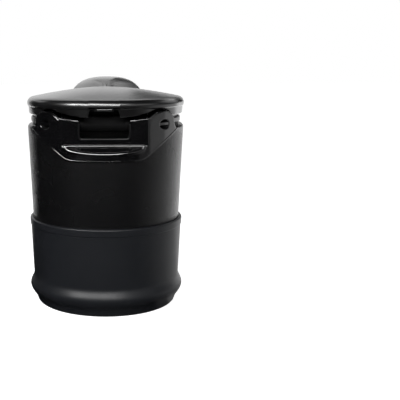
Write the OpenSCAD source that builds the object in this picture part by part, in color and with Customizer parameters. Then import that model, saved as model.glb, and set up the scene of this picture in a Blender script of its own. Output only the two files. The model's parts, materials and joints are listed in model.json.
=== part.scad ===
// Cup-holder ashtray: a tapered cup in a rubber grip sleeve, with a neck collar and a hinged lid.
// Millimetres, +Z up. The origin is the centre of the foot. The hinge is at the back, towards -Y,
// and the lid's thumb tab is at the front, towards +Y.

/* [Cup] */
// Height of the cup's top deck above the foot
cup_h = 89.3; // [84:0.1:96]
// Outside radius of the cup at its shoulder
cup_top_r = 38.4; // [37.6:0.1:39.4]
// How much narrower the cup is at its foot, on the radius
cup_taper = 3.7; // [3:0.1:4.4]
// Thickness of the cup's side wall
cup_wall = 1.8; // [1.6:0.1:2.1]
// Thickness of the cup's floor
cup_floor = 2.2; // [1.6:0.1:3]
// Rounding of the shoulder
shoulder_round = 1.8; // [1.2:0.1:2]
// Thickness of the deck that closes the cup's shoulder inwards
deck_t = 1.8; // [1.4:0.1:2.2]

/* [Grip sleeve] */
// Height of the rubber sleeve
sleeve_h = 43; // [30:0.5:60]
// Thickness of the sleeve's wall
sleeve_wall = 1.3; // [1:0.1:1.8]
// Height of the raised band round the sleeve's mouth
lip_h = 3.8; // [2:0.1:6]
// How far that band stands out
lip_out = 0.3; // [0.1:0.05:0.5]
// Thickness of the sleeve's floor
sleeve_floor = 1.6; // [1.2:0.1:2.4]
// Height of the middle of the grip bead
bead_z = 8.4; // [7.6:0.1:14]
// How far the grip bead stands out of the sleeve
bead_out = 2.1; // [1:0.1:2.6]
// Height of the grip bead with its run-outs
bead_h = 12; // [8:0.5:13]
// How much the sleeve draws in below the bead, on the radius
foot_draw = 1.5; // [0.5:0.1:2]
// Rounding of the sleeve's foot
foot_round = 1.5; // [0.6:0.1:2]
// Depth of the recess in the underside
foot_recess = 0.8; // [0.4:0.1:1]
// Width of the ring that the sleeve stands on
foot_ring = 6; // [3:0.5:10]
// Radius of the pad in the middle of the underside
foot_pad_r = 12; // [6:0.5:20]

/* [Ash bowl] */
// Thickness of the steel bowl
bowl_wall = 0.6; // [0.5:0.1:0.9]
// Gap between the bowl's foot and the cup's wall
bowl_gap = 2.4; // [2:0.1:3.2]
// Width of the bowl's rolled rim beyond its wall
bowl_rim = 0.7; // [0.4:0.1:1]

/* [Collar] */
// Thickness of the gasket between deck and collar
gasket_t = 0.9; // [0.6:0.1:1.2]
// Height of the collar's outer ring
ring_h = 2.8; // [2:0.1:3.2]
// Step from the outer ring in to the neck
ring_step = 1.3; // [0.8:0.1:1.6]
// Height of the neck above the outer ring
neck_h = 3.4; // [2.8:0.1:4]
// Width of the neck's top face
neck_wall = 4.3; // [3.6:0.1:5]
// Thickness of the mouth tube
collar_wall = 2; // [1.6:0.1:2.2]
// Depth of the mouth tube below the deck
collar_drop = 9.3; // [6:0.1:12]
// Depth of the seat for the snuffer insert
seat_depth = 2; // [1.7:0.1:2.6]
// Width of the seat for the snuffer insert
seat_w = 1.4; // [1:0.1:1.8]

/* [Snuffer insert] */
// Thickness of the insert's flange, wall and shelf
insert_t = 1.5; // [1.2:0.1:1.7]
// Height of the insert's wall below its flange
insert_drop = 4.4; // [3:0.1:6]
// Depth of the shelf from its straight edge to the insert's wall
shelf_depth = 16.4; // [14.5:0.1:18]
// Radius of the hole that stubs out a cigarette
stub_r = 5.2; // [4.5:0.1:5.4]
// Distance of the stub hole's middle from the insert's wall
stub_inset = 9.2; // [8.4:0.1:9.5]
// Length of the stub tube
stub_len = 14; // [8:0.5:15]

/* [Hinge] */
// Distance of the hinge axis in from the shoulder
axis_inset = 11.4; // [11:0.1:12]
// Height of the hinge axis above the deck
axis_rise = 1.2; // [0.9:0.1:1.5]
// Radius of the hinge pins
pin_r = 2.25; // [1.8:0.05:2.4]
// Running clearance round the pins
pin_gap = 0.05; // [0.03:0.01:0.08]
// Wall of the ears' bosses round the pins
boss_wall = 1.8; // [1.4:0.1:2.2]
// Radius of the ears round the hinge axis
ear_r = 6.1; // [5.8:0.1:6.5]
// Radius of the fillet at the front foot of each ear
ear_fillet = 3; // [2:0.1:3.4]
// Width of the slope that each ear's top falls inwards over, to the flat back's top edge
ear_slope = 4.5; // [2:0.1:6]
// Distance of each ear's inner face from the middle
cheek_x = 20; // [18.5:0.1:20.5]
// Distance of the flat back behind the hinge axis
flat_off = 6.5; // [6.3:0.1:6.8]
// Thickness of the yoke's walls
yoke_wall = 1.8; // [1.5:0.1:2]
// How far the yoke stands out of the cup's shoulder
plate_proud = 0.45; // [0.3:0.05:0.7]
// How deep the yoke is let into the cup's wall
plate_depth = 0.9; // [0.6:0.1:1]
// Radius of the lid's hinge barrel
barrel_r = 3.8; // [3.6:0.1:4]
// Thickness of the friction washers
washer_t = 0.55; // [0.4:0.05:0.7]

/* [Yoke face] */
// Drop from the hinge axis to the foot of the flat back
ledge_drop = 9.4; // [9:0.1:10]
// Slope of the crescent ledge below the flat back
ledge_angle = 36; // [25:1:42]
// Drop from the hinge axis to the lower edge of the apron
apron_drop = 15.9; // [15.5:0.1:18]
// Half width of the apron's lower edge, to its unrounded corner
apron_half = 17.5; // [15:0.5:19]
// Rounding of the apron's lower corners
apron_round = 9; // [4:0.5:11]
// Half width of the notch that the lid's arm swings through
notch_half = 11.5; // [10.5:0.1:13]
// Drop from the hinge axis to the floor of the notch
notch_drop = 6.1; // [5.5:0.1:6.6]
// Rise from the hinge axis to the flat back's top edge at the notch
wall_rise = 2.3; // [1.8:0.1:2.5]

/* [Lid] */
// Radial clearance between the neck and the lid's skirt
skirt_clear = 1.3; // [1:0.1:1.6]
// Thickness of the lid's skirt
skirt_t = 1; // [0.9:0.1:1.2]
// Gap between the collar's outer ring and the skirt's lower edge
skirt_gap = 1.2; // [0.8:0.1:1.8]
// How far the rim stands out beyond the skirt
rim_over = 0.9; // [0.6:0.1:1.2]
// Height of the rim's widest line above the liner's underside
rim_rise = 1.2; // [0.8:0.1:1.5]
// Rounding of the rim
rim_round = 3; // [2.4:0.1:3.4]
// Rise of the dome from the rim's widest line to its top
dome_rise = 7.6; // [6:0.1:8.5]
// Thickness of the lid's shell
shell_t = 1.6; // [1.2:0.1:1.9]
// Gap between the ears and the lid
ear_gap = 1.1; // [0.9:0.1:1.4]
// Angle at which the opened lid's skirt comes to rest on the flat back
lid_open = 70; // [60:1:75]
// Half width of the notch in the back of the skirt
skirt_notch = 7; // [6.4:0.1:8]
// Half width of the liner's tongue in the skirt's notch
tongue_half = 4.3; // [3:0.1:5.4]
// Thickness of the liner's tongue
tongue_t = 1.3; // [1:0.1:1.6]
// Thickness of the liner plate
liner_t = 1.5; // [1.3:0.1:1.7]
// Half width of the arm from the liner to the hinge barrel
arm_half = 9.5; // [7:0.1:9.8]
// Thickness of the heat shield
shield_t = 0.5; // [0.3:0.1:0.7]

/* [Thumb tab] */
// How far the tab reaches beyond the rim
tab_out = 3.8; // [2:0.1:5]
// Height of the tab's crest above the dome's top
tab_rise = 4; // [3:0.1:5]
// Place of the crest's highest point in front of the centre
tab_peak = 30.5; // [28:0.5:33]
// Place in front of the centre where the tab grows out of the dome
tab_start = 4.5; // [2:0.5:8]
// Half width that the tab gains for each millimetre of its length
tab_spread = 0.7; // [0.5:0.02:0.8]
// Rounding of the tab's tip
tip_round = 4.4; // [3.4:0.1:5]

/* [Screws] */
// Radius of the screws' shanks
screw_r = 1.1; // [0.9:0.05:1.2]
// Radius of the yoke screws' heads
yoke_head_r = 1.5; // [1.4:0.05:1.5]
// Radius of the liner screws' heads
liner_head_r = 2; // [1.6:0.1:2.4]
// Distance of the liner's screws in from the mouth
liner_screw_inset = 9.8; // [7:0.1:12]
// Height of the screws' heads
head_h = 0.8; // [0.6:0.1:1]

/* [Hidden] */
$fn = 96;

// Clearance between pieces that are fixed to each other
fit = 0.05;
// Height and reach that are past the whole part, for cuts
far = 130;

// Cup and collar
cup_foot_r = cup_top_r - cup_taper;
ring_r = cup_top_r - shoulder_round;
neck_r = ring_r - ring_step;
mouth_r = neck_r - neck_wall;
tube_r = mouth_r + collar_wall;
deck_hole_r = tube_r + 0.3;
ring_z = cup_h + gasket_t;
neck_z = ring_z + ring_h;
collar_top_z = neck_z + neck_h;
tube_z = cup_h - collar_drop;
seat_z = collar_top_z - seat_depth;

// Bowl
bowl_top_r = tube_r - 0.1 - bowl_rim;
bowl_z = sleeve_floor + cup_floor + fit;
bowl_top_z = tube_z - 0.4;
bowl_foot_r = cup_r(bowl_z) - cup_wall - bowl_gap;

// Hinge
plate_r = cup_top_r + plate_proud;
axis_y = cup_top_r - axis_inset;
axis_z = cup_h + axis_rise;
flat_y = axis_y + flat_off;
ear_front = axis_y - ear_r;
chord_out = ear_front - 0.15;
mouth_chord = chord_out - collar_wall;
barrel_half = cheek_x - washer_t - 0.25;
pin_out = sqrt(pow(plate_r, 2) - pow(axis_y + pin_r + pin_gap, 2)) - 0.7;
pin_in = 13.5;
bay_floor_z = axis_z - ledge_drop + 2;
ledge_z = axis_z - ledge_drop;
notch_z = axis_z - notch_drop;
edge_z = axis_z + wall_rise + 0.7;
apron_z = axis_z - apron_drop;
pocket_x = cheek_x + yoke_wall;
pocket_z = ledge_z - (plate_r - flat_y) * tan(ledge_angle) - 0.3;
wedge_r = tube_r + 1.3;

// Lid
lid_clear_r = ear_r + ear_gap;
stop_gap = 0.3;
flat_half = sqrt(pow(plate_r, 2) - pow(flat_y, 2)) + stop_gap;
liner_z = axis_z + lid_clear_r + 0.4;
skirt_in = neck_r + skirt_clear;
skirt_r = skirt_in + skirt_t;
skirt_z = neck_z + skirt_gap;
skirt_top_z = liner_z - 0.2;
arch_top_z = skirt_top_z - 0.2;
rim_r = skirt_r + rim_over;
rim_z = liner_z + rim_rise;
rim_start = 78;
rim_end = -20;
tip_end = -35;
edge_r = rim_r - rim_round * (1 - cos(rim_start));
dome_top = rim_z + dome_rise;
dome_drop = dome_rise - rim_round * sin(rim_start);
dome_power = 1.6;
liner_top_z = liner_z + liner_t;
liner_r = skirt_in - 0.4;
tab_r = rim_r + tab_out;
tab_top = dome_top + tab_rise;
tab_power = 2.7;
ridge_k = (tab_top - dome_z(tab_start)) / pow(tab_peak - tab_start, 2);
tip_y = tab_r - tip_round * (1 - cos(rim_start));
tip_z = ridge_z(tip_y) - tip_round * sin(rim_start);

// Places of the liner's screws, and of the right-hand screw that holds the yoke to the deck
liner_screws = [for (a = [35, 145, -28, -152])
    (mouth_r - liner_screw_inset) * [cos(a), sin(a)]];
yoke_screw_y = ear_front + screw_r + 0.6;
yoke_screw_x = sqrt(pow((deck_hole_r + ring_r) / 2, 2) - pow(yoke_screw_y, 2));
yoke_screw_len = 3.8;

// Outside radius of the cup at a height
function cup_r(z) = cup_foot_r + (cup_top_r - cup_foot_r) * z / cup_h;
// Outside radius of the sleeve at a height, with its grip bead and drawn-in foot
function sleeve_r(z) =
    cup_r(z) + sleeve_wall - (z < bead_z ? foot_draw * pow(1 - z / bead_z, 2) : 0)
    + (abs(z - bead_z) < bead_h / 2 ? bead_out * pow(cos(180 * (z - bead_z) / bead_h), 2) : 0);

function mix(a, b, t) = a + (b - a) * t;
function unit(v) = v / norm(v);
// Arc of radius r that rounds the corner b between a and c
function corner(a, b, c, r, n = 6) =
    let (u = unit(a - b), v = unit(c - b), half = acos(u * v) / 2)
    let (centre = b + unit(u + v) * r / sin(half))
    let (from = b + u * r / tan(half) - centre, to = b + v * r / tan(half) - centre)
    let (a0 = atan2(from.y, from.x), turn = atan2(to.y, to.x) - a0)
    let (sweep = turn > 180 ? turn - 360 : turn < -180 ? turn + 360 : turn)
    [for (i = [0:n]) centre + r * [cos(a0 + sweep * i / n), sin(a0 + sweep * i / n)]];
// Outline through points that are given as [x, y, corner radius]
function rounded(p) =
    [for (i = [0:len(p) - 1])
        let (a = p[(i + len(p) - 1) % len(p)], b = p[i], c = p[(i + 1) % len(p)])
        each (b.z > 0 ? corner([a.x, a.y], [b.x, b.y], [c.x, c.y], b.z) : [[b.x, b.y]])];

// Circle of radius r cut off behind the centre by a straight chord
module mouth_shape(r, chord) {
    intersection() {
        circle(r);
        translate([-r, -chord]) square([2 * r, r + chord]);
    }
}

// Ring between two mouth shapes that are w apart
module mouth_ring(r, chord, w, h) {
    linear_extrude(h) difference() {
        mouth_shape(r, chord);
        mouth_shape(r - w, chord - w);
    }
}

// Extrusion along X of an outline drawn in Y and Z
module along_x(x0, x1) {
    translate([x0, 0, 0]) rotate([90, 0, 90]) linear_extrude(x1 - x0) children();
}

// Cylinder along X on the hinge axis
module on_axis(r, x0, x1) {
    translate([x0, -axis_y, axis_z]) rotate([0, 90, 0]) cylinder(r = r, h = x1 - x0);
}

// Turned solid of an outline given as [radius, height, corner radius]
module turned(p) {
    rotate_extrude() polygon(rounded(p));
}

module grip_sleeve() {
    steps = 16;
    bead_foot = max(bead_z - bead_h / 2, foot_round + 0.4);
    bead_head = bead_z + bead_h / 2;
    bead = [for (i = [0:steps])
        let (z = mix(bead_foot, bead_head, i / steps)) [sleeve_r(z), z, 0]];
    foot_r = sleeve_r(0);
    lip_foot = sleeve_h - lip_h;
    color([0.13, 0.14, 0.155]) turned(concat(
        [
            [0, 0, 0],
            [foot_pad_r, 0, 0],
            [foot_pad_r, foot_recess, 0],
            [foot_r - foot_ring, foot_recess, 0],
            [foot_r - foot_ring, 0, 0],
            [foot_r, 0, foot_round]
        ],
        bead,
        [
            [sleeve_r(lip_foot), lip_foot, 0.2],
            [sleeve_r(lip_foot) + lip_out, lip_foot + lip_out, 0.2],
            [sleeve_r(sleeve_h) + lip_out, sleeve_h, 0.6 * sleeve_wall],
            [cup_r(sleeve_h) + fit, sleeve_h, 0.2 * sleeve_wall],
            [cup_r(sleeve_floor) + fit, sleeve_floor, 0],
            [0, sleeve_floor, 0]
        ]
    ));
}

// The cup's outside where the yoke is let in, grown by g and with the hinge bay's pocket left out
module cup_core(g) {
    r_top = cup_r(cup_h) - plate_depth + g;
    r_low = cup_r(apron_z - 10) - plate_depth + g;
    difference() {
        turned([
            [0, apron_z - 10, 0],
            [r_low, apron_z - 10, 0],
            [r_top, cup_h + g, 1],
            [0, cup_h + g, 0]
        ]);
        translate([g - pocket_x, -far, pocket_z + g])
            cube([2 * (pocket_x - g), far - ear_front - g, far]);
        // saddles for the bosses round the pins
        on_axis(pin_r + pin_gap + boss_wall - g, -far, far);
    }
}

// The apron's outline seen from behind, grown by g and run through the back half
module apron_prism(g) {
    top_x = sqrt(pow(plate_r, 2) - pow(ear_front - ear_fillet, 2)) + g;
    rotate([90, 0, 0]) linear_extrude(far) polygon(rounded([
        [-top_x, far, 0],
        [-top_x, cup_h - 0.9, 0],
        [-apron_half - g, apron_z - g, apron_round],
        [apron_half + g, apron_z - g, apron_round],
        [top_x, cup_h - 0.9, 0],
        [top_x, far, 0]
    ]));
}

module yoke_screw_holes(r, z, h) {
    for (side = [-1, 1])
        translate([side * yoke_screw_x, -yoke_screw_y, z]) cylinder(r = r, h = h, $fn = 32);
}

module outer_cup() {
    foot = sleeve_floor + fit;
    floor_z = sleeve_floor + cup_floor;
    under_deck = cup_h - deck_t;
    color([0.035, 0.035, 0.038]) difference() {
        union() {
            turned([
                [0, foot, 0],
                [cup_r(foot), foot, 1],
                [cup_r(cup_h), cup_h, shoulder_round],
                [deck_hole_r, cup_h, 0],
                [deck_hole_r, under_deck, 0],
                [cup_r(under_deck) - cup_wall, under_deck, 0],
                [cup_r(floor_z) - cup_wall, floor_z, 1],
                [0, floor_z, 0]
            ]);
            // low ring that centres the bowl's foot
            translate([0, 0, floor_z - 0.5]) rotate_extrude()
                translate([bowl_foot_r + 0.2, 0]) square([1.3, 3.5]);
        }
        difference() {
            apron_prism(fit);
            cup_core(0);
        }
        yoke_screw_holes(screw_r + 0.15, under_deck - 1, deck_t + 2);
    }
}

module ash_bowl() {
    color([0.62, 0.63, 0.65]) union() {
        turned([
            [0, bowl_z, 0],
            [bowl_foot_r, bowl_z, 3],
            [bowl_top_r, bowl_top_z, 0],
            [bowl_top_r - bowl_wall, bowl_top_z, 0],
            [bowl_foot_r - bowl_wall, bowl_z + bowl_wall, 2.4],
            [0, bowl_z + bowl_wall, 0]
        ]);
        // rolled rim
        translate([0, 0, bowl_top_z - bowl_rim]) rotate_extrude()
            translate([bowl_top_r - 0.1, 0]) circle(bowl_rim, $fn = 32);
    }
}

module collar_gasket() {
    color([0.05, 0.05, 0.05]) difference() {
        translate([0, 0, cup_h]) linear_extrude(gasket_t) difference() {
            circle(neck_r + 0.4);
            circle(deck_hole_r);
        }
        translate([-far, -far, 0]) cube([2 * far, far - ear_front + ear_fillet + fit, far]);
    }
}

// Side outline of an ear, grown by g: a round head on a block with a filleted front foot
module ear_prism(side, g) {
    foot_z = cup_h - 1.3;
    mirror([side < 0 ? 1 : 0, 0, 0]) along_x(cheek_x - g, cheek_x + plate_r) {
        translate([-axis_y, axis_z]) circle(ear_r + g);
        polygon(rounded([
            [-far, bay_floor_z - yoke_wall, 0],
            [-ear_front + ear_fillet + g, bay_floor_z - yoke_wall, 0],
            [-ear_front + ear_fillet + g, foot_z + g, 0],
            [-ear_front + g, foot_z + g, ear_fillet],
            [-ear_front + g, axis_z + g, 0],
            [-far, axis_z + g, 0]
        ]));
    }
}

// Space at the back that belongs to the hinge: the bay between the ears, and the ears themselves
module hinge_bay(g) {
    translate([-cheek_x - g, -far, 0]) cube([2 * (cheek_x + g), far - chord_out, far]);
    for (side = [-1, 1]) ear_prism(side, g);
}

module snap_hooks() {
    // hooks that catch under the deck
    for (a = [20, 70, 110, 160]) rotate([0, 0, a - 7])
        rotate_extrude(angle = 14) polygon([
            [tube_r - 0.5, cup_h - deck_t - 2.6],
            [tube_r + 0.1, cup_h - deck_t - 2.6],
            [tube_r + 0.8, cup_h - deck_t - 1],
            [tube_r + 0.8, cup_h - deck_t - 0.1],
            [tube_r - 0.5, cup_h - deck_t - 0.1]
        ]);
}

module collar() {
    color([0.03, 0.03, 0.032]) difference() {
        union() {
            turned([
                [mouth_r - seat_w - 1, ring_z, 0],
                [ring_r, ring_z, 0.7],
                [ring_r, neck_z, 0.7],
                [neck_r, neck_z, 0],
                [neck_r, collar_top_z, 0.5],
                [mouth_r - seat_w - 1, collar_top_z, 0]
            ]);
            translate([0, 0, tube_z]) linear_extrude(ring_z + 1 - tube_z)
                mouth_shape(tube_r, chord_out);
            snap_hooks();
        }
        translate([0, 0, tube_z - 1]) linear_extrude(far)
            mouth_shape(mouth_r - seat_w, mouth_chord - seat_w);
        translate([0, 0, seat_z]) linear_extrude(far) mouth_shape(mouth_r, mouth_chord);
        hinge_bay(fit + 0.05);
        // nothing of it stands behind the hinge axis
        translate([-far, -far, tube_z]) cube([2 * far, far - axis_y, far]);
    }
}

module snuffer_insert() {
    seat_fit = 0.2;
    flange_r = mouth_r - seat_fit;
    flange_chord = mouth_chord - seat_fit;
    wall_r = mouth_r - seat_w - seat_fit;
    wall_chord = mouth_chord - seat_w - seat_fit;
    shelf_top = seat_z - 0.5;
    inner_r = wall_r - insert_t;
    shelf_y = wall_r - shelf_depth;
    stub_y = wall_r - stub_inset;
    color([0.08, 0.08, 0.085]) difference() {
        union() {
            translate([0, 0, seat_z])
                mouth_ring(flange_r, flange_chord, seat_w + insert_t, insert_t);
            translate([0, 0, seat_z - insert_drop])
                mouth_ring(wall_r, wall_chord, insert_t, insert_drop + insert_t);
            translate([0, 0, shelf_top - insert_t]) linear_extrude(insert_t) intersection() {
                circle(inner_r + 0.5);
                translate([-inner_r, shelf_y]) square([2 * inner_r, inner_r]);
            }
            translate([0, stub_y, shelf_top - stub_len]) cylinder(r = stub_r + insert_t, h = stub_len);
        }
        translate([0, stub_y, shelf_top - stub_len - 1]) cylinder(r = stub_r, h = stub_len + 2);
    }
}

module hinge_yoke() {
    color([0.04, 0.04, 0.043]) difference() {
        intersection() {
            cylinder(r = plate_r, h = far);
            apron_prism(0);
            union() {
                // apron plate and the wedge below the ledge
                translate([0, 0, apron_z]) linear_extrude(cup_h - 1.3 - apron_z) difference() {
                    circle(plate_r + 1);
                    circle(wedge_r);
                }
                // floor of the hinge bay
                translate([-pocket_x, -flat_y, bay_floor_z - yoke_wall])
                    cube([2 * pocket_x, flat_y - ear_front - fit, yoke_wall]);
                for (side = [-1, 1]) ear_prism(side, 0);
                yoke_back_wall();
            }
        }
        cup_core(fit);
        // hinge bay
        translate([-cheek_x, -(flat_y - yoke_wall), bay_floor_z])
            cube([2 * cheek_x, flat_y, cup_h + 0.5 - bay_floor_z]);
        // flat back and crescent ledge
        along_x(-far, far) polygon([
            [-flat_y, far],
            [-flat_y, ledge_z],
            [-flat_y - plate_r, ledge_z - plate_r * tan(ledge_angle)],
            [-far, ledge_z - plate_r * tan(ledge_angle)],
            [-far, far]
        ]);
        yoke_notch();
        ear_slopes();
        on_axis(pin_r + pin_gap, -far, far);
        yoke_screw_holes(screw_r + fit, cup_h - 1, yoke_screw_len + 1.3);
    }
}

// Wall of the flat back between the ears, with its top edge falling towards the notch
module yoke_back_wall() {
    half = cheek_x + 0.5;
    translate([0, yoke_wall - flat_y, 0]) rotate([90, 0, 0]) linear_extrude(yoke_wall) polygon([
        [-half, ledge_z],
        [half, ledge_z],
        [half, edge_z],
        [notch_half, axis_z + wall_rise],
        [-notch_half, axis_z + wall_rise],
        [-half, edge_z]
    ]);
}

// Space above the slopes of the ears' tops
module ear_slopes() {
    for (side = [0, 1]) mirror([side, 0, 0]) rotate([90, 0, 0]) linear_extrude(far) polygon([
        [cheek_x - 1, edge_z],
        [cheek_x, edge_z],
        [cheek_x + ear_slope, axis_z + ear_r],
        [cheek_x + ear_slope, far],
        [cheek_x - 1, far]
    ]);
}

module yoke_notch() {
    translate([0, -flat_y + yoke_wall + 1, 0]) rotate([90, 0, 0]) linear_extrude(yoke_wall + 2)
        polygon(rounded([
            [-notch_half, notch_z, 1],
            [notch_half, notch_z, 1],
            [notch_half, far, 0],
            [-notch_half, far, 0]
        ]));
}

// Hinge pin with a driver bar across its recessed end
module hinge_pin(side) {
    pocket_d = 1.2;
    bar = 1;
    color([0.25, 0.25, 0.27]) mirror([side < 0 ? 1 : 0, 0, 0]) difference() {
        on_axis(pin_r, pin_in, pin_out);
        difference() {
            on_axis(pin_r - 0.4, pin_out - pocket_d, pin_out + 1);
            translate([pin_out - 2 * pocket_d, -axis_y - pin_r, axis_z - bar / 2])
                cube([3 * pocket_d, 2 * pin_r, bar]);
        }
    }
}

// Friction washer between an ear and the end of the hinge barrel
module washer(side) {
    color([0.6, 0.6, 0.62]) mirror([side < 0 ? 1 : 0, 0, 0]) difference() {
        on_axis(barrel_r - 0.3, cheek_x - fit - washer_t, cheek_x - fit);
        on_axis(pin_r + pin_gap, 0, cheek_x + 1);
    }
}

// Screw that points up, with its head below z and a cross recess
module screw(z, head_r, length) {
    difference() {
        union() {
            translate([0, 0, z - head_h]) cylinder(r = head_r, h = head_h, $fn = 32);
            translate([0, 0, z - head_h / 2]) cylinder(r = screw_r, h = length + head_h / 2, $fn = 32);
        }
        for (a = [0, 90]) rotate([0, 0, a])
            translate([-head_r * 0.6, -0.25, z - head_h - 1]) cube([head_r * 1.2, 0.5, 1.4]);
    }
}

module yoke_screw(side) {
    color([0.5, 0.5, 0.52]) translate([side * yoke_screw_x, -yoke_screw_y, 0])
        screw(cup_h - deck_t - fit, yoke_head_r, deck_t + yoke_screw_len);
}

module liner_screw(i) {
    color([0.5, 0.5, 0.52]) translate([liner_screws[i].x, liner_screws[i].y, 0])
        screw(liner_z - shield_t, liner_head_r, shield_t + liner_t + 2);
}

// Height of the plain dome at a distance from the centre
function dome_z(r) = dome_top - dome_drop * pow(min(r / edge_r, 1), dome_power);
// Height of the tab's crest at a distance in front of the centre
function ridge_z(y) = tab_top - ridge_k * pow(y - tab_peak, 2);
// Share of the tab's height that stands at a point, 1 on the crest and 0 outside the tab
function tab_share(r, a) =
    let (y = r * cos(a), half = tab_spread * (y - tab_start))
    half > 0 && r * abs(sin(a)) < half ? 1 - pow(r * abs(sin(a)) / half, tab_power) : 0;
// Lower edge of the skirt: an arch round each ear, a notch at the back, and between them a slope
// that lies along the flat back when the lid is open
function skirt_edge_z(r, a) =
    let (x = abs(r * sin(a)), back = -axis_y - r * cos(a))
    let (reach = pow(lid_clear_r, 2) - pow(back, 2))
    let (arch_z = reach > 0 ? axis_z + sqrt(reach) : skirt_z)
    let (stop_z = axis_z + (flat_off + stop_gap - back * cos(lid_open)) / sin(lid_open))
    cos(a) > 0 ? skirt_z
    : x < skirt_notch ? arch_top_z
    : max(skirt_z, min(arch_top_z, max(arch_z, x < flat_half ? stop_z : skirt_z)));
// Section of the shell at the angle a from the tab, from the dome's top over the rim to the inside
function shell_section(a) =
    let (s = tab_share(rim_r, a))
    let (start_r = mix(edge_r, tip_y, s))
    let (centre = mix([rim_r - rim_round, rim_z], [tab_r - tip_round, tip_z], s))
    let (round = mix(rim_round, tip_round, s), end = mix(rim_end, tip_end, s))
    concat(
        [for (t = [0.14, 0.28, 0.42, 0.54, 0.65, 0.76, 0.87, 0.95])
            let (r = t * start_r, base = dome_z(r))
            [r, mix(base, ridge_z(r * cos(a)), tab_share(r, a))]],
        [for (i = [0:6])
            let (b = mix(rim_start, end, i / 6)) centre + round * [cos(b), sin(b)]],
        [
            [skirt_r + 0.3 + 0.3 * s, skirt_top_z - 0.1 - 0.2 * s],
            [skirt_r, skirt_edge_z(skirt_r, a) + 0.35],
            [skirt_r - 0.3, skirt_edge_z(skirt_r, a)],
            [skirt_in, skirt_edge_z(skirt_in, a)],
            [skirt_in, liner_top_z + 0.2]
        ],
        [for (t = [0.93, 0.74, 0.5, 0.25]) [t * skirt_in, dome_z(t * skirt_in) - shell_t]]
    );

// Angles of the shell's sections on one side, from the tab round to the back, closer together
// along the tab, the arches and the notch
notch_a = asin(skirt_notch / skirt_r);
half_turn = concat(
    [for (a = [0:3:36]) a],
    [for (a = [42:6:114]) a],
    [for (a = [118:3:163]) a],
    [180 - notch_a - 0.6, 180 - notch_a + 0.6]
);
section_angles = concat(
    half_turn,
    [180],
    [for (i = [len(half_turn) - 1:-1:1]) -half_turn[i]]
);

module shell_surface() {
    sections = [for (a = section_angles) shell_section(a)];
    cols = len(sections);
    rings = len(sections[0]);
    points = concat(
        [[0, 0, dome_top]],
        [for (j = [0:cols - 1]) for (p = sections[j])
            [-p.x * sin(section_angles[j]), p.x * cos(section_angles[j]), p.y]],
        [[0, 0, dome_top - shell_t]]
    );
    last = len(points) - 1;
    function at(j, i) = 1 + (j % cols) * rings + i;
    faces = [for (j = [0:cols - 1]) each concat(
        [[0, at(j + 1, 0), at(j, 0)]],
        [for (i = [0:rings - 2]) [at(j, i), at(j + 1, i), at(j + 1, i + 1)]],
        [for (i = [0:rings - 2]) [at(j, i), at(j + 1, i + 1), at(j, i + 1)]],
        [[last, at(j, rings - 1), at(j + 1, rings - 1)]]
    )];
    polyhedron(points, faces, convexity = 6);
}

module lid_shell() {
    boss_r = screw_r + 1.3;
    lip_cut_h = 3.9;
    lip_clear = 0.3;
    color([0.05, 0.05, 0.053]) difference() {
        union() {
            shell_surface();
            for (p = liner_screws) translate([p.x, p.y, liner_top_z + fit])
                cylinder(r = boss_r, h = dome_z(norm(p)) - shell_t / 2 - liner_top_z, $fn = 24);
        }
        for (p = liner_screws) translate([p.x, p.y, liner_z])
            cylinder(r = screw_r + 0.05, h = liner_t + 2.3, $fn = 24);
        // notch in the rim's lower lip, over the liner's tongue
        translate([-skirt_notch, -far, skirt_top_z + 0.9 - lip_cut_h])
            cube([2 * skirt_notch, far - skirt_in + lip_clear, lip_cut_h]);
    }
}

module lid_liner() {
    rib = 1.2;
    arm_rib = 2.4;
    arm_recess = 2;
    recess_z = axis_z + pin_r + 1.6;
    tongue_reach = skirt_r + 0.5;
    color([0.045, 0.045, 0.048]) difference() {
        union() {
            translate([0, 0, liner_z]) cylinder(r = liner_r, h = liner_t);
            // rib that holds the seal from inside
            translate([0, 0, collar_top_z + 0.5])
                mouth_ring(mouth_r + 0.7, mouth_chord - 0.1, rib, liner_z - collar_top_z);
            translate([-arm_half, -axis_y - barrel_r, axis_z])
                cube([2 * arm_half, 2 * barrel_r, liner_z + 0.5 - axis_z]);
            on_axis(barrel_r, -barrel_half, barrel_half);
            // tongue that sits in the skirt's notch
            translate([-tongue_half, -tongue_reach, liner_z - tongue_t + 0.3])
                cube([2 * tongue_half, tongue_reach - axis_y - barrel_r, tongue_t]);
        }
        // the arm is lightened between its two cheeks
        translate([arm_rib - arm_half, -axis_y - barrel_r - 1, recess_z])
            cube([2 * (arm_half - arm_rib), arm_recess + 1, liner_z - tongue_t - recess_z]);
        on_axis(pin_r + pin_gap, -far, far);
        for (p = liner_screws) translate([p.x, p.y, liner_z - 1])
            cylinder(r = screw_r + 0.1, h = liner_t + 2, $fn = 32);
    }
}

module lid_seal() {
    color([0.07, 0.07, 0.07]) translate([0, 0, collar_top_z + 0.3])
        mouth_ring(mouth_r + 2.6, mouth_chord + 1.8, 1.7, liner_z - collar_top_z - 0.3);
}

module heat_shield() {
    color([0.68, 0.69, 0.7]) translate([0, 0, liner_z - shield_t]) linear_extrude(shield_t) difference() {
        mouth_shape(mouth_r - 1.5, mouth_chord - 2.5);
        for (p = liner_screws) translate(p) circle(screw_r + 0.1, $fn = 32);
    }
}

grip_sleeve();
outer_cup();
ash_bowl();
collar_gasket();
collar();
hinge_yoke();
snuffer_insert();
hinge_pin(-1);  // hinge_pin_left
hinge_pin(1);  // hinge_pin_right
washer(-1);  // washer_left
washer(1);  // washer_right
yoke_screw(-1);  // yoke_screw_left
yoke_screw(1);  // yoke_screw_right
lid_shell();
lid_liner();
lid_seal();
heat_shield();
liner_screw(0);  // liner_screw_1
liner_screw(1);  // liner_screw_2
liner_screw(2);  // liner_screw_3
liner_screw(3);  // liner_screw_4
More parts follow.
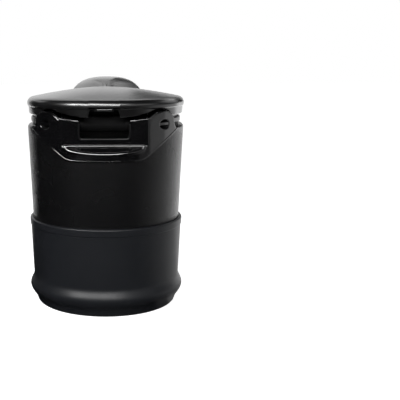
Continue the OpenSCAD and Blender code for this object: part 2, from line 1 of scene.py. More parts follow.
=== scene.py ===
"""Looks of a cup-holder ashtray: its finishes, its softly moulded pieces, the studio and the camera."""

import json
import math

import bmesh
import bpy
from bpy.props import FloatProperty, FloatVectorProperty, PointerProperty
from mathutils import Euler, Matrix, Vector


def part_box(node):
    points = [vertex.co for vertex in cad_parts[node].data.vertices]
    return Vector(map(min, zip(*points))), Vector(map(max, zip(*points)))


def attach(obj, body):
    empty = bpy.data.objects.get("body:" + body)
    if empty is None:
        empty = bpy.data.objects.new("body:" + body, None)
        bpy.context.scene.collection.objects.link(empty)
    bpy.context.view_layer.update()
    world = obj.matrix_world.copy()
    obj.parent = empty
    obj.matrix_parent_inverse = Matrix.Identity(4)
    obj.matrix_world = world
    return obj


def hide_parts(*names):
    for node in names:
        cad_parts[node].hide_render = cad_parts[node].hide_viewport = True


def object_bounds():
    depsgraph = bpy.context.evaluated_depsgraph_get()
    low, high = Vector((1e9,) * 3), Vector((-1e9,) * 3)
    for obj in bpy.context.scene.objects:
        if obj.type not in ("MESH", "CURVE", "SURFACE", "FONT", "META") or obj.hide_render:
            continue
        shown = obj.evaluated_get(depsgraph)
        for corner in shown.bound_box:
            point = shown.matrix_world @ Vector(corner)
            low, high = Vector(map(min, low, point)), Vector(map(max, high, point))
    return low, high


bl_info = {
    "name": "Cup-holder ashtray looks",
    "version": (1, 0, 0),
    "blender": (4, 5, 0),
    "location": "View3D > Sidebar > Ashtray",
    "description": "Finishes and studio for a cup-holder ashtray with a hinged lid",
    "category": "Object",
}

MM = 0.001
# Distance under which corners of a mesh are one corner
MERGE = 0.001 * MM

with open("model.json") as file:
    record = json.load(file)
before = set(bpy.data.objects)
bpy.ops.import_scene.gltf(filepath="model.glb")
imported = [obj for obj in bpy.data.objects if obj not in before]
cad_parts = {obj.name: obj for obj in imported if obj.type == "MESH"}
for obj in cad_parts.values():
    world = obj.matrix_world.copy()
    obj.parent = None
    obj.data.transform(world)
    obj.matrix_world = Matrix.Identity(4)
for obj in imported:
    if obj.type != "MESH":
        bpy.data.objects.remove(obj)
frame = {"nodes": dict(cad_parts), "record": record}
NODES = frame["nodes"]
RECORD = frame["record"]
BODIES = {node: body for body, nodes in RECORD["behaviour"]["bodies"].items() for node in nodes}

CAD_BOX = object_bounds()
# Middle of the object, which the lamps face
OBJECT_MIDDLE = (Vector(CAD_BOX[0]) + Vector(CAD_BOX[1])) / 2
# Axis of the lid's hinge, which runs along X
HINGE_Y, HINGE_Z = RECORD["behaviour"]["joints"][0]["pos_m"][1:]
# Radius of the yoke's round face about the cup's axis, which is the yoke's reach towards -Y
PLATE_RADIUS = -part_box("hinge_yoke")[0][1]
# Y of the yoke's flat back, in which the notch is cut
FLAT_Y = -33.5 * MM


class AshtrayFinishes(bpy.types.PropertyGroup):
    """Colours and fine sizes of the ashtray's surfaces"""

    cup_color: FloatVectorProperty(
        name="Cup", description="Satin plastic of cup and collar", subtype="COLOR",
        default=(0.0028, 0.0028, 0.0031), min=0, max=1,
    )
    yoke_color: FloatVectorProperty(
        name="Yoke", description="Glossy plastic of the hinge yoke", subtype="COLOR",
        default=(0.0025, 0.0025, 0.0028), min=0, max=1,
    )
    lid_color: FloatVectorProperty(
        name="Lid", description="Satin plastic of the lid", subtype="COLOR",
        default=(0.002, 0.002, 0.0022), min=0, max=1,
    )
    # This colour is also on the linings in the pin holes, which paint their shade
    inner_color: FloatVectorProperty(
        name="Insert and liner", description="Heat-resistant matt plastic", subtype="COLOR",
        default=(0.0025, 0.0025, 0.0027), min=0, max=1,
    )
    rubber_color: FloatVectorProperty(
        name="Grip sleeve", description="Blue-black rubber", subtype="COLOR",
        default=(0.007, 0.0078, 0.0098), min=0, max=1,
    )
    seal_color: FloatVectorProperty(
        name="Gasket and seal", description="Soft black rubber", subtype="COLOR",
        default=(0.006, 0.006, 0.006), min=0, max=1,
    )
    steel_color: FloatVectorProperty(
        name="Steel", description="Bowl, heat shield, washers and screws", subtype="COLOR",
        default=(0.53, 0.53, 0.54), min=0, max=1,
    )
    # Painted shade: the ends of the hinge pins are near-black so that their holes read dark
    pin_shade_color: FloatVectorProperty(
        name="Hinge pins", description="Ends of the hinge pins, painted near-black as the shade in their holes", subtype="COLOR",
        default=(0.02, 0.02, 0.021), min=0, max=1,
    )
    mesh_pitch: FloatProperty(
        name="Mesh pitch", description="Pitch of the fine mesh texture on the cup",
        default=0.8 * MM, min=0.3 * MM, max=2 * MM, subtype="DISTANCE", unit="LENGTH", precision=5,
    )
    mesh_depth: FloatProperty(
        name="Mesh depth", description="Depth of the fine mesh texture on the cup",
        default=0.035 * MM, min=0, max=0.2 * MM, subtype="DISTANCE", unit="LENGTH", precision=5,
    )
    yoke_cell: FloatProperty(
        name="Yoke cell", description="Cell size that the yoke is remeshed at, which softens its edges",
        default=0.26 * MM, min=0.2 * MM, max=1 * MM, subtype="DISTANCE", unit="LENGTH", precision=5,
    )
    lip_size: FloatProperty(
        name="Lip", description="Radius of the rounded lip round the crescent recess",
        default=1.3 * MM, min=0.3 * MM, max=2 * MM, subtype="DISTANCE", unit="LENGTH", precision=5,
    )


class AshtrayStudio(bpy.types.PropertyGroup):
    """Levels of the studio's lamps and of its even light"""

    key_power: FloatProperty(
        name="Front top", description="Power of the high softbox at the camera's side",
        default=4.4, min=0, max=20,
    )
    spark_power: FloatProperty(
        name="Left top", description="Power of the small high softbox on the left",
        default=0.6, min=0, max=20,
    )
    side_power: FloatProperty(
        name="Right strip", description="Power of the tall strip on the right",
        default=0.6, min=0, max=20,
    )
    edge_power: FloatProperty(
        name="Left strip", description="Power of the thin strip on the left",
        default=0.3, min=0, max=20,
    )
    fill: FloatProperty(
        name="Fill", description="Level of the even light from all round",
        default=0.3, min=0, max=2, subtype="FACTOR",
    )


# Node helpers

def add_node(tree, kind, values=None, **settings):
    """A shader node with its settings, and values on its unlinked sockets."""
    made = tree.nodes.new(kind)
    for name, value in settings.items():
        setattr(made, name, value)
    for name, value in (values or {}).items():
        made.inputs[name].default_value = value
    return made


def link(tree, source, target):
    """Joins an output socket to an input socket."""
    tree.links.new(source, target)


def math_node(tree, operation, *values):
    """The result of a math node on the given sockets or numbers."""
    made = add_node(tree, "ShaderNodeMath", operation=operation)
    for socket, value in zip(made.inputs, values):
        if isinstance(value, bpy.types.NodeSocket):
            link(tree, value, socket)
        else:
            socket.default_value = value
    return made.outputs[0]


def new_group(name, inputs, outputs):
    """An empty shader node group with named sockets, its input node and its output node."""
    group = bpy.data.node_groups.new(name, "ShaderNodeTree")
    for label, kind, value in inputs:
        socket = group.interface.new_socket(label, in_out="INPUT", socket_type=kind)
        socket.default_value = value
    for label, kind in outputs:
        group.interface.new_socket(label, in_out="OUTPUT", socket_type=kind)
    return group, add_node(group, "NodeGroupInput"), add_node(group, "NodeGroupOutput")


def place_group(tree, group, values):
    """A group node in a material, with its values."""
    made = tree.nodes.new("ShaderNodeGroup")
    made.node_tree = group
    for name, value in values.items():
        made.inputs[name].default_value = value
    return made


def backdrop_rays(tree):
    """A socket that is 1 for the camera's rays and for those that metal and glass send on."""
    rays = add_node(tree, "ShaderNodeLightPath")
    seen = math_node(tree, "MAXIMUM", rays.outputs["Is Camera Ray"], rays.outputs["Is Glossy Ray"])
    return math_node(tree, "MAXIMUM", seen, rays.outputs["Is Transmission Ray"])


# Shared effects

def moulded_group():
    """Colour, roughness and bump height of a moulded surface: fine grain and slow unevenness."""
    group, enter, leave = new_group(
        "moulded surface",
        [
            ("Color", "NodeSocketColor", (0.02, 0.02, 0.02, 1)),
            ("Roughness", "NodeSocketFloat", 0.3),
            ("Grain Scale", "NodeSocketFloat", 900.0),
            ("Grain", "NodeSocketFloat", 0.5),
            ("Unevenness", "NodeSocketFloat", 0.06),
        ],
        [
            ("Color", "NodeSocketColor"),
            ("Roughness", "NodeSocketFloat"),
            ("Height", "NodeSocketFloat"),
        ],
    )
    where = add_node(group, "ShaderNodeTexCoord")
    fine = add_node(group, "ShaderNodeTexNoise", {"Detail": 3.0, "Roughness": 0.6})
    slow = add_node(group, "ShaderNodeTexNoise", {"Scale": 55.0, "Detail": 2.0})
    link(group, where.outputs["Object"], fine.inputs["Vector"])
    link(group, where.outputs["Object"], slow.inputs["Vector"])
    link(group, enter.outputs["Grain Scale"], fine.inputs["Scale"])
    spread = math_node(group, "SUBTRACT", slow.outputs["Fac"], 0.5)
    drift = math_node(group, "MULTIPLY", spread, enter.outputs["Unevenness"])
    rough = math_node(group, "ADD", drift, enter.outputs["Roughness"])
    link(group, rough, leave.inputs["Roughness"])
    shade = add_node(group, "ShaderNodeMapRange", {"To Min": 0.9, "To Max": 1.1})
    link(group, slow.outputs["Fac"], shade.inputs["Value"])
    tint = add_node(group, "ShaderNodeVectorMath", operation="SCALE")
    link(group, enter.outputs["Color"], tint.inputs[0])
    link(group, shade.outputs["Result"], tint.inputs["Scale"])
    link(group, tint.outputs["Vector"], leave.inputs["Color"])
    height = math_node(group, "MULTIPLY", fine.outputs["Fac"], enter.outputs["Grain"])
    link(group, height, leave.inputs["Height"])
    return group


def mesh_group(pitch, radius, top, fade):
    """Height of a fine mesh pressed into the cup: rows and columns in relief, fading out near top."""
    group, enter, leave = new_group(
        "fine mesh",
        [("Depth", "NodeSocketFloat", 1.0)],
        [("Height", "NodeSocketFloat")],
    )
    where = add_node(group, "ShaderNodeTexCoord")
    parts = add_node(group, "ShaderNodeSeparateXYZ")
    link(group, where.outputs["Object"], parts.inputs[0])
    around = math_node(group, "ARCTAN2", parts.outputs["X"], parts.outputs["Y"])
    turns = 2 * math.pi / pitch
    columns = math_node(group, "SINE", math_node(group, "MULTIPLY", around, radius * turns))
    rows = math_node(group, "SINE", math_node(group, "MULTIPLY", parts.outputs["Z"], turns))
    woven = math_node(group, "MULTIPLY", columns, rows)
    below = math_node(group, "SUBTRACT", top, parts.outputs["Z"])
    mask = math_node(group, "DIVIDE", below, fade)
    mask.node.use_clamp = True
    shown = math_node(group, "MULTIPLY", woven, mask)
    deep = math_node(group, "MULTIPLY", shown, enter.outputs["Depth"])
    link(group, deep, leave.inputs["Height"])
    return group


# Materials

def moulded_material(name, group, color, roughness, grain_scale, grain, bump, **shader_values):
    """A moulded plastic, rubber or steel, made with the shared moulded surface group."""
    material = bpy.data.materials.new(name)
    material.use_nodes = True
    tree = material.node_tree
    tree.nodes.clear()
    surface = place_group(
        tree,
        group,
        {"Color": (*color, 1), "Roughness": roughness, "Grain Scale": grain_scale, "Grain": grain},
    )
    surface.name = "surface"
    relief = add_node(tree, "ShaderNodeBump", {"Strength": 1.0, "Distance": bump})
    relief.name = "relief"
    shader = add_node(tree, "ShaderNodeBsdfPrincipled", shader_values)
    out = add_node(tree, "ShaderNodeOutputMaterial")
    link(tree, surface.outputs["Color"], shader.inputs["Base Color"])
    link(tree, surface.outputs["Roughness"], shader.inputs["Roughness"])
    link(tree, surface.outputs["Height"], relief.inputs["Height"])
    link(tree, relief.outputs["Normal"], shader.inputs["Normal"])
    link(tree, shader.outputs["BSDF"], out.inputs["Surface"])
    return material


def add_mesh_texture(material, group, depth):
    """Adds the fine mesh to a moulded material's bump."""
    tree = material.node_tree
    relief = tree.nodes["relief"]
    pattern = place_group(tree, group, {"Depth": depth / relief.inputs["Distance"].default_value})
    grain = tree.nodes["surface"].outputs["Height"]
    total = math_node(tree, "ADD", grain, pattern.outputs["Height"])
    link(tree, total, relief.inputs["Height"])


def finish_with(material, *nodes):
    """Gives CAD nodes their material."""
    for node in nodes:
        data = NODES[node].data
        data.materials.clear()
        data.materials.append(material)


# Shapes

def weld(data):
    """Merges the corners of a mesh that lie in one place, which closes its seams."""
    mesh = bmesh.new()
    mesh.from_mesh(data)
    bmesh.ops.remove_doubles(mesh, verts=mesh.verts, dist=MERGE)
    mesh.to_mesh(data)
    mesh.free()


def merged_mesh(node):
    """Copy of a CAD node's mesh with its corners merged and without the file's own normals."""
    data = NODES[node].data.copy()
    weld(data)
    if "custom_normal" in data.attributes:
        data.attributes.remove(data.attributes["custom_normal"])
    return data


def tube_mesh(context, places, radii, closed=False):
    """Mesh of a round tube through the places, with a radius at each and flat ends if it is open."""
    curve = bpy.data.curves.new("tube", "CURVE")
    curve.dimensions = "3D"
    curve.bevel_depth = 1.0
    curve.bevel_resolution = 4
    curve.use_fill_caps = not closed
    spline = curve.splines.new("POLY")
    spline.points.add(len(places) - 1)
    spline.use_cyclic_u = closed
    for point, place, radius in zip(spline.points, places, radii):
        point.co = (*place, 1)
        point.radius = radius
    helper = bpy.data.objects.new("tube", curve)
    context.scene.collection.objects.link(helper)
    made = bpy.data.meshes.new_from_object(helper.evaluated_get(context.evaluated_depsgraph_get()))
    bpy.data.objects.remove(helper)
    if not closed:
        weld(made)
        # The ends meet the wall at a right angle, and the wall's own folds are far shallower
        made.set_sharp_from_angle(angle=math.radians(60))
    return made


def mesh_from(mesh, name):
    """Mesh data from a bmesh, which is freed."""
    data = bpy.data.meshes.new(name)
    mesh.to_mesh(data)
    mesh.free()
    return data


def mirror_across(mesh):
    """Adds the mirror copy across X of what a bmesh holds, and turns all faces outwards again."""
    everything = mesh.verts[:] + mesh.edges[:] + mesh.faces[:]
    bmesh.ops.mirror(mesh, geom=everything, matrix=Matrix.Identity(4), merge_dist=0, axis="X")
    bmesh.ops.recalc_face_normals(mesh, faces=mesh.faces)


def add_piece(context, name, data, like=None):
    """A new piece in the scene, with the material of a CAD node where its mesh has none."""
    data.name = name
    if like:
        data.materials.append(NODES[like].data.materials[0])
    piece = bpy.data.objects.new(name, data)
    context.scene.collection.objects.link(piece)
    return piece


def plate_y(x, depth):
    """Y of the yoke's round face at x, or of a surface at a depth under it."""
    return -math.sqrt((PLATE_RADIUS - depth) ** 2 - x * x)


def between(first, last, share):
    """The point at a share of the way from first to last."""
    return tuple(a + (b - a) * share for a, b in zip(first, last))


class ASHTRAY_OT_finishes(bpy.types.Operator):
    """Gives every CAD node its finish"""

    bl_idname = "ashtray.finishes"
    bl_label = "Finishes"

    def execute(self, context):
        looks = context.scene.ashtray_finishes
        moulded = moulded_group()
        cup = moulded_material(
            "cup plastic", moulded, looks.cup_color,
            roughness=0.27, grain_scale=1800, grain=0.5, bump=0.012 * MM,
        )
        # The mesh stops short of the cup's rim and fades out over its last rows
        margin, fade = 2.4 * MM, 2 * MM
        cup_radius, _, cup_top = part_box("outer_cup")[1]
        fine_mesh = mesh_group(looks.mesh_pitch, cup_radius, cup_top - margin, fade)
        add_mesh_texture(cup, fine_mesh, looks.mesh_depth)
        collar = moulded_material(
            "collar plastic", moulded, looks.cup_color,
            roughness=0.3, grain_scale=1800, grain=0.3, bump=0.008 * MM,
        )
        yoke = moulded_material(
            "yoke plastic", moulded, looks.yoke_color,
            roughness=0.12, grain_scale=1200, grain=0.25, bump=0.006 * MM,
            **{"Specular IOR Level": 1.0, "Coat Weight": 0.6, "Coat Roughness": 0.08}
        )
        lid = moulded_material(
            "lid plastic", moulded, looks.lid_color,
            roughness=0.3, grain_scale=1500, grain=0.3, bump=0.008 * MM,
            **{"Specular IOR Level": 1.0, "Coat Weight": 0.8, "Coat Roughness": 0.24}
        )
        rubber = moulded_material(
            "grip rubber", moulded, looks.rubber_color,
            roughness=0.4, grain_scale=1400, grain=0.7, bump=0.02 * MM,
            **{"Specular IOR Level": 0.4}
        )
        inner = moulded_material(
            "insert plastic", moulded, looks.inner_color,
            roughness=0.55, grain_scale=1200, grain=0.6, bump=0.02 * MM,
            **{"Specular IOR Level": 0.1}
        )
        seal = moulded_material(
            "seal rubber", moulded, looks.seal_color,
            roughness=0.6, grain_scale=900, grain=0.3, bump=0.01 * MM,
        )
        steel = moulded_material(
            "plain steel", moulded, looks.steel_color,
            roughness=0.3, grain_scale=700, grain=0.2, bump=0.004 * MM, Metallic=1.0,
        )
        # The pins' near-black colour is painted shade for the inside of their holes
        pins = moulded_material(
            "blackened pins", moulded, looks.pin_shade_color,
            roughness=0.6, grain_scale=700, grain=0.2, bump=0.004 * MM,
            **{"Specular IOR Level": 0.15}
        )
        finish_with(cup, "outer_cup")
        finish_with(collar, "collar")
        finish_with(yoke, "hinge_yoke")
        finish_with(lid, "lid_shell")
        finish_with(rubber, "grip_sleeve")
        finish_with(inner, "snuffer_insert", "lid_liner")
        finish_with(seal, "collar_gasket", "lid_seal")
        finish_with(pins, "hinge_pin_left", "hinge_pin_right")
        finish_with(steel, "ash_bowl", "heat_shield", "washer_left", "washer_right")
        finish_with(steel, "yoke_screw_left", "yoke_screw_right")
        finish_with(steel, *(f"liner_screw_{number}" for number in range(1, 5)))
        return {"FINISHED"}


class ASHTRAY_OT_mouldings(bpy.types.Operator):
    """Gives the large round pieces merged, softly shaded surfaces"""

    bl_idname = "ashtray.mouldings"
    bl_label = "Round mouldings"

    pieces = (
        "grip_sleeve", "outer_cup", "ash_bowl", "collar", "snuffer_insert",
        "lid_shell", "lid_liner", "lid_seal",
    )

    def execute(self, context):
        # Sharpest fold, in degrees, that is shaded as a round one; the lid's shallow crease stays sharp
        fold, lid_fold = 28, 19
        for name in self.pieces:
            data = merged_mesh(name)
            for polygon in data.polygons:
                polygon.use_smooth = True
            data.set_sharp_from_angle(angle=math.radians(lid_fold if name == "lid_shell" else fold))
            piece = add_piece(context, name + "_moulding", data)
            weighted = piece.modifiers.new("weighted", "WEIGHTED_NORMAL")
            weighted.keep_sharp = True
            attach(piece, BODIES[name])
            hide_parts(name)
        return {"FINISHED"}


class ASHTRAY_OT_yoke(bpy.types.Operator):
    """Makes the hinge yoke with soft moulded edges"""

    bl_idname = "ashtray.yoke"
    bl_label = "Hinge yoke"

    def execute(self, context):
        looks = context.scene.ashtray_finishes
        piece = add_piece(context, "yoke_moulding", merged_mesh("hinge_yoke"))
        remesh = piece.modifiers.new("remesh", "REMESH")
        remesh.mode = "VOXEL"
        remesh.voxel_size = looks.yoke_cell
        remesh.use_smooth_shade = True
        soften = piece.modifiers.new("soften", "SMOOTH")
        soften.factor = 0.5
        soften.iterations = 4
        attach(piece, "cup")
        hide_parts("hinge_yoke")
        return {"FINISHED"}


class ASHTRAY_OT_lips(bpy.types.Operator):
    """Adds the rounded lips of the yoke, of its notch and of the lid's arm"""

    bl_idname = "ashtray.lips"
    bl_label = "Rounded lips"

    def execute(self, context):
        self.yoke_lips(context)
        self.notch_lip(context)
        self.arm_lip(context)
        return {"FINISHED"}

    def yoke_lips(self, context):
        """Lips round the crescent, along the apron, down the ears' slopes and up the flat back."""
        crescent_places, crescent_sizes = self.crescent(context.scene.ashtray_finishes.lip_size)
        tubes = [tube_mesh(context, crescent_places, crescent_sizes, closed=True)]
        open_runs = [self.apron()]
        open_runs += [self.ear_slope(side) for side in (-1, 1)]
        open_runs += [self.flat_side(side) for side in (-1, 1)]
        tubes += [tube_mesh(context, places, sizes) for places, sizes in open_runs]
        mesh = bmesh.new()
        for tube in tubes:
            mesh.from_mesh(tube)
            bpy.data.meshes.remove(tube)
        piece = add_piece(context, "yoke_lips", mesh_from(mesh, "yoke_lips"), like="hinge_yoke")
        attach(piece, "cup")

    def crescent(self, size):
        """Lip round the crescent recess: a straight top on the flat back and a bowed lower side."""
        top_z, half, drop = HINGE_Z - 9.5 * MM, 17.8 * MM, 3.5 * MM
        # Shares of the lip's radius: that of the top, and how deep the lower side is sunk in the face
        top_share, sunk = 0.68, 0.75
        # Power of the bow's sine, where less makes fuller ends
        bow, steps = 0.7, 36
        places = [Vector((half * (2 * step / steps - 1), FLAT_Y, top_z)) for step in range(1, steps)]
        for step in range(steps + 1):
            turn = math.pi * step / steps
            x = half * math.cos(turn)
            places.append(Vector((x, plate_y(x, sunk * size), top_z - drop * math.sin(turn) ** bow)))
        sizes = [top_share * size] * (steps - 1) + [size] * (steps + 1)
        return places, sizes

    def apron(self):
        """Lip along the apron's lower edge, with rounded corners, from ear to ear."""
        top, corner = (34.3 * MM, HINGE_Z - 2.3 * MM), (17.3 * MM, HINGE_Z - 15.7 * MM)
        corner_radius, corner_steps, line_steps = 9 * MM, 8, 12
        # The lip's radius grows from thin in the middle to thick at this distance from it
        thin, thick, grown_at = 0.08 * MM, 0.45 * MM, 15 * MM
        # Share of the radius that its middle line is sunk in the face
        sunk = 0.6
        slope = math.atan2(top[1] - corner[1], top[0] - corner[0])
        bend_x = corner[0] - corner_radius * math.tan(slope / 2)
        outline = []
        for step in range(corner_steps + 1):
            turn = slope * step / corner_steps
            rise = corner_radius * (1 - math.cos(turn))
            outline.append((bend_x + corner_radius * math.sin(turn), corner[1] + rise))
        bend_end = outline[-1]
        outline += [between(bend_end, top, step / line_steps) for step in range(1, line_steps + 1)]
        bottom = [(bend_x * (1 - step / line_steps), corner[1]) for step in range(1, line_steps)]
        half = outline[::-1] + bottom
        line = half + [(0, corner[1])] + [(-x, z) for x, z in half[::-1]]
        sizes = [thin + (thick - thin) * min(abs(x) / grown_at, 1) ** 3 for x, _ in line]
        places = [Vector((x, plate_y(x, sunk * size), z)) for (x, z), size in zip(line, sizes)]
        return places, sizes

    def ear_slope(self, side):
        """Lip down the slope of an ear's top and on along the flat back's top edge."""
        outer, inner = (24.2 * MM, HINGE_Z + 5.8 * MM), (19.9 * MM, HINGE_Z + 2.8 * MM)
        end = (13 * MM, inner[1] - 0.6 * MM)
        slope_steps, edge_steps, sunk = 8, 6, 0.2 * MM
        slope_size, bend_size, end_size = 0.25 * MM, 0.45 * MM, 0.15 * MM
        places, sizes = [], []
        for step in range(slope_steps + 1):
            x, z = between(outer, inner, step / slope_steps)
            places.append(Vector((side * x, max(plate_y(x, sunk), FLAT_Y + sunk), z)))
            sizes.append(slope_size + (bend_size - slope_size) * step / slope_steps)
        for step in range(1, edge_steps + 1):
            x, z = between(inner, end, step / edge_steps)
            places.append(Vector((side * x, FLAT_Y + sunk, z)))
            sizes.append(bend_size + (end_size - bend_size) * step / edge_steps)
        return places, sizes

    def flat_side(self, side):
        """Rounding of the upright edge where the flat back meets the round face."""
        size, proud = 1.5 * MM, 0.06 * MM
        foot_z, top_z = HINGE_Z - 8.6 * MM, HINGE_Z + 2.4 * MM
        # The rounding's middle line lies under the edge, on the line that halves the edge's angle
        half = math.acos(-FLAT_Y / PLATE_RADIUS) / 2
        depth = size / math.cos(half) - proud
        edge = Vector((side * math.sqrt(PLATE_RADIUS ** 2 - FLAT_Y ** 2), FLAT_Y, 0))
        centre = edge - depth * Vector((side * math.sin(half), -math.cos(half), 0))
        return [centre + Vector((0, 0, z)) for z in (foot_z, top_z)], [size, size]

    def notch_lip(self, context):
        """Satin edge along the notch's floor and up its sides, with rounded corners."""
        half, floor_z, top_z = 11.6 * MM, HINGE_Z - 6.3 * MM, HINGE_Z + 0.5 * MM
        size, sunk = 0.42 * MM, 0.2 * MM
        corner_radius, corner_steps = 1.4 * MM, 3
        right = []
        for step in range(corner_steps + 1):
            turn = math.pi / 2 * step / corner_steps
            x = half - corner_radius * (1 - math.sin(turn))
            right.append((x, floor_z + corner_radius * (1 - math.cos(turn))))
        right.append((half, top_z))
        outline = [(-x, z) for x, z in right[::-1]] + right
        places = [Vector((x, FLAT_Y + sunk, z)) for x, z in outline]
        data = tube_mesh(context, places, [size] * len(places))
        piece = add_piece(context, "notch_lip", data, like="collar")
        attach(piece, "cup")

    def arm_lip(self, context):
        """Rounded lip on the outer face of the lid's arm, under the rim."""
        arm_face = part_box("lid_liner")[0][1]
        left, right, size = -3.1 * MM, 3.4 * MM, 0.6 * MM
        y, z = arm_face + 0.3 * MM, HINGE_Z + 7.35 * MM
        data = tube_mesh(context, [Vector((x, y, z)) for x in (left, right)], [size, size])
        piece = add_piece(context, "arm_lip", data, like="lid_shell")
        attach(piece, "lid")


class ASHTRAY_OT_pin_holes(bpy.types.Operator):
    """Adds the driver bar of each hinge pin's hole, and a dark matt lining in it that paints the hole's
    shade
    """

    bl_idname = "ashtray.pin_holes"
    bl_label = "Pin holes"

    def execute(self, context):
        self.pin_bars(context)
        self.bore_linings(context)
        return {"FINISHED"}

    def pin_bars(self, context):
        """Driver bar across the mouth of each hinge pin's hole, bent like the yoke's round face."""
        start, end, height, cuts = 25.1 * MM, 30.5 * MM, 1.1 * MM, 7
        outer_depth, inner_depth = 0.25 * MM, 1.6 * MM
        middle_z = HINGE_Z + 0.2 * MM
        mesh = bmesh.new()
        bmesh.ops.create_cube(mesh, size=1.0)
        lengthwise = [edge for edge in mesh.edges if edge.verts[0].co.x != edge.verts[1].co.x]
        bmesh.ops.subdivide_edges(mesh, edges=lengthwise, cuts=cuts)
        for vert in mesh.verts:
            x = start + (end - start) * (vert.co.x + 0.5)
            depth = outer_depth if vert.co.y < 0 else inner_depth
            vert.co = (x, plate_y(x, depth), middle_z + height * vert.co.z)
        mirror_across(mesh)
        piece = add_piece(context, "pin_bars", mesh_from(mesh, "pin_bars"), like="hinge_yoke")
        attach(piece, "cup")

    def bore_linings(self, context):
        """Dark matt lining inside each hinge pin's hole, from the pin's end to the ear's face, as
        painted shade in the hole.
        """
        pin_low, pin_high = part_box("hinge_pin_right")
        radius, inner_x = (pin_high[2] - pin_low[2]) / 2, pin_high[0] + 0.09 * MM
        segments, depth = 32, 0.25 * MM
        upright = Matrix.Rotation(math.pi / 2, 4, "Y")
        mesh = bmesh.new()
        bmesh.ops.create_circle(
            mesh, segments=segments, radius=radius,
            matrix=Matrix.Translation((inner_x, HINGE_Y, HINGE_Z)) @ upright,
        )
        wall = bmesh.ops.extrude_edge_only(mesh, edges=mesh.edges[:])["geom"]
        for item in wall:
            if isinstance(item, bmesh.types.BMVert):
                item.co.x = math.sqrt(PLATE_RADIUS ** 2 - item.co.y ** 2) - depth
        mirror_across(mesh)
        # The side that shows is the one towards the hole
        bmesh.ops.reverse_faces(mesh, faces=mesh.faces)
        data = mesh_from(mesh, "bore_linings")
        # The lining's dark matt insert plastic paints the shade inside the hole
        piece = add_piece(context, "bore_linings", data, like="snuffer_insert")
        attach(piece, "cup")


def area_lamp(scene, name, place, size, power):
    """A softbox that faces the object's middle."""
    data = bpy.data.lights.new(name, "AREA")
    data.shape = "RECTANGLE"
    data.size, data.size_y = size
    data.energy = power
    lamp = bpy.data.objects.new(name, data)
    scene.collection.objects.link(lamp)
    lamp.location = place
    lamp.rotation_euler = (OBJECT_MIDDLE - Vector(place)).to_track_quat("-Z", "Y").to_euler()


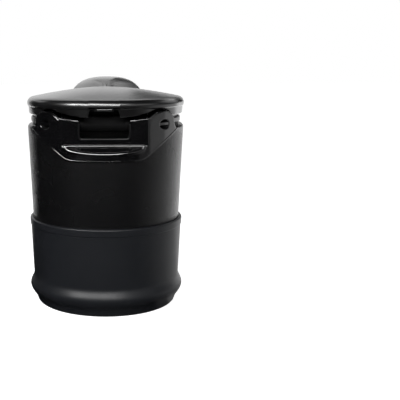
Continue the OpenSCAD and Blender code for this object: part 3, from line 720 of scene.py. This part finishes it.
class ASHTRAY_OT_studio(bpy.types.Operator):
    """Sets the floor, the lamps, the world and the camera"""

    bl_idname = "ashtray.studio"
    bl_label = "Studio"

    def execute(self, context):
        scene = context.scene
        levels = scene.ashtray_studio
        self.floor(scene)
        self.cards(scene)
        self.world(scene, levels.fill)
        self.lamps(scene, levels)
        self.camera(scene)
        scene.view_settings.view_transform = "Standard"
        return {"FINISHED"}

    def floor(self, scene):
        """White floor that keeps the shadow."""
        half, shine = 3.0, 0.75
        mesh = bmesh.new()
        bmesh.ops.create_grid(mesh, x_segments=1, y_segments=1, size=half)
        data = mesh_from(mesh, "studio_floor")
        floor = bpy.data.objects.new("studio_floor", data)
        scene.collection.objects.link(floor)
        material = bpy.data.materials.new("studio floor")
        material.use_nodes = True
        tree = material.node_tree
        shader = tree.nodes["Principled BSDF"]
        shader.inputs["Base Color"].default_value = (0.9, 0.9, 0.9, 1)
        shader.inputs["Roughness"].default_value = 0.6
        shader.inputs["Specular IOR Level"].default_value = 0.0
        shader.inputs["Emission Color"].default_value = (1, 1, 1, 1)
        lift = math_node(tree, "MULTIPLY", backdrop_rays(tree), shine)
        link(tree, lift, shader.inputs["Emission Strength"])
        data.materials.append(material)

    def cards(self, scene):
        """Cards that only reflections see: dark ones round the object and lit ones in front of them."""
        near, far, axis = 0.034, 0.6, 0.001
        floor_z, split_z, roof_z = 0.0005, 0.12, 0.8
        ground = ((near, floor_z), (far, floor_z))
        roof = ((far, roof_z), (axis, roof_z))
        low = (*ground, (far, split_z))
        high = ((far, split_z), *roof)
        back_roof = ((0.35, roof_z), (axis, roof_z))
        left_foot = ((0.08, 0.001), (0.55, 0.001), (0.55, 0.25))
        # Name, profile as distances from the cup's axis and heights, bearings in degrees, and glow
        for name, profile, bearings, glow in (
            ("dark_tent", (*ground, *roof), (-48, 142), 0),
            ("right_tent_1", low, (-65, -48), 0.1),
            ("right_tent_2", low, (-92, -65), 0.34),
            ("right_tent_3", low, (-125, -92), 0.64),
            ("right_flag", high, (-155, -48), 0),
            ("back_top", back_roof, (142, 205), 0),
            ("back_glow_left", ((far, 0.14), (far, 0.36)), (142, 184), 0.95),
            ("back_glow_right", ((far, 0.14), (far, 0.24)), (184, 205), 0.8),
            ("back_band_left", ((far, 0.36), (far, 0.44)), (162, 184), 0.05),
            ("back_band_right", ((far, 0.24), (far, 0.44)), (184, 205), 0),
            ("tab_glow", ((far, 0.44), (far, 0.6)), (142, 205), 0.9),
            ("tab_left", ((0.59, 0.3), (0.59, 0.5)), (132, 162), 0.95),
            ("tab_right", ((0.59, 0.38), (0.59, 0.54)), (203, 228), 1.1),
            ("lip_glow", ((0.5, 0.2), (0.5, 0.32)), (-75, -32), 0.75),
            ("left_glow", left_foot, (18, 40), 0.05),
        ):
            self.card(scene, name, profile, bearings, glow)

    def card(self, scene, name, profile, bearings, glow):
        """Dark or lit card bent round the object, from its profile and its two bearings."""
        first, last = (math.radians(bearing) for bearing in bearings)
        mesh = bmesh.new()
        corners = [
            mesh.verts.new((-radius * math.sin(first), -radius * math.cos(first), z))
            for radius, z in profile
        ]
        for ends in zip(corners, corners[1:]):
            mesh.edges.new(ends)
        bmesh.ops.spin(
            mesh, geom=mesh.verts[:] + mesh.edges[:], cent=(0, 0, 0), axis=(0, 0, 1),
            angle=first - last, steps=32,
        )
        data = mesh_from(mesh, name)
        panel = bpy.data.objects.new(name, data)
        scene.collection.objects.link(panel)
        panel.visible_camera = False
        panel.visible_diffuse = False
        panel.visible_shadow = False
        material = bpy.data.materials.new(name)
        material.use_nodes = True
        shader = material.node_tree.nodes["Principled BSDF"]
        shader.inputs["Base Color"].default_value = (0.0, 0.0, 0.0, 1)
        shader.inputs["Emission Color"].default_value = (1, 1, 1, 1)
        shader.inputs["Emission Strength"].default_value = glow
        shader.inputs["Specular IOR Level"].default_value = 0.0
        data.materials.append(material)

    def world(self, scene, fill):
        """White behind the object and in reflections, and a lower even light on it."""
        world = bpy.data.worlds.new("studio")
        scene.world = world
        world.use_nodes = True
        tree = world.node_tree
        back = tree.nodes["Background"]
        back.inputs["Color"].default_value = (1, 1, 1, 1)
        level = add_node(tree, "ShaderNodeMapRange", {"To Min": fill, "To Max": 1.0})
        link(tree, backdrop_rays(tree), level.inputs["Value"])
        link(tree, level.outputs["Result"], back.inputs["Strength"])

    def lamps(self, scene, levels):
        """Softboxes above the front, at the right and at the left."""
        area_lamp(scene, "front_top", (-0.12, -0.46, 0.37), (0.8, 0.13), levels.key_power)
        area_lamp(scene, "left_top", (-0.42, -0.38, 0.36), (0.12, 0.12), levels.spark_power)
        area_lamp(scene, "right_strip", (0.52, 0.3, 0.2), (0.45, 0.6), levels.side_power)
        area_lamp(scene, "left_strip", (-0.55, 0.3, 0.2), (0.1, 0.6), levels.edge_power)

    def camera(self, scene):
        """Camera fitted to the photograph, which shows the object left of the picture's middle."""
        azimuth, pitch, roll = (math.radians(angle) for angle in (1.0, 10.478, -0.25))
        distance, height = 0.38724, 0.12167
        lens_mm, sensor_mm = 70.26, 36.0
        picture, axis_px = 400, 105.9
        data = bpy.data.cameras.new("camera")
        camera = bpy.data.objects.new("camera", data)
        scene.collection.objects.link(camera)
        scene.camera = camera
        camera.location = (distance * math.sin(azimuth), -distance * math.cos(azimuth), height)
        turn = Euler((math.pi / 2 - pitch, 0, azimuth)).to_matrix() @ Matrix.Rotation(roll, 3, "Z")
        camera.rotation_euler = turn.to_euler()
        data.lens = lens_mm
        data.sensor_width = sensor_mm
        data.shift_x = (picture / 2 - axis_px) / picture
        data.clip_start = 0.01
        data.clip_end = 20.0


class ASHTRAY_PT_sidebar(bpy.types.Panel):
    """Buttons and settings of the ashtray"""

    bl_label = "Ashtray"
    bl_idname = "ASHTRAY_PT_sidebar"
    bl_space_type = "VIEW_3D"
    bl_region_type = "UI"
    bl_category = "Ashtray"

    def draw(self, context):
        for name in ("ashtray_finishes", "ashtray_studio"):
            group = getattr(context.scene, name)
            for label in group.bl_rna.properties.keys():
                if label not in ("name", "rna_type"):
                    self.layout.prop(group, label)
        for operator in OPERATORS:
            self.layout.operator(operator.bl_idname)


OPERATORS = (
    ASHTRAY_OT_finishes,
    ASHTRAY_OT_mouldings,
    ASHTRAY_OT_yoke,
    ASHTRAY_OT_lips,
    ASHTRAY_OT_pin_holes,
    ASHTRAY_OT_studio,
)
CLASSES = (AshtrayFinishes, AshtrayStudio, *OPERATORS, ASHTRAY_PT_sidebar)


def register():
    for item in CLASSES:
        bpy.utils.register_class(item)
    bpy.types.Scene.ashtray_finishes = PointerProperty(type=AshtrayFinishes)
    bpy.types.Scene.ashtray_studio = PointerProperty(type=AshtrayStudio)


def unregister():
    del bpy.types.Scene.ashtray_studio
    del bpy.types.Scene.ashtray_finishes
    for item in reversed(CLASSES):
        bpy.utils.unregister_class(item)


def main():
    register()
    bpy.ops.ashtray.finishes()
    bpy.ops.ashtray.mouldings()
    bpy.ops.ashtray.yoke()
    bpy.ops.ashtray.lips()
    bpy.ops.ashtray.pin_holes()
    bpy.ops.ashtray.studio()


if __name__ == "__main__":
    main()
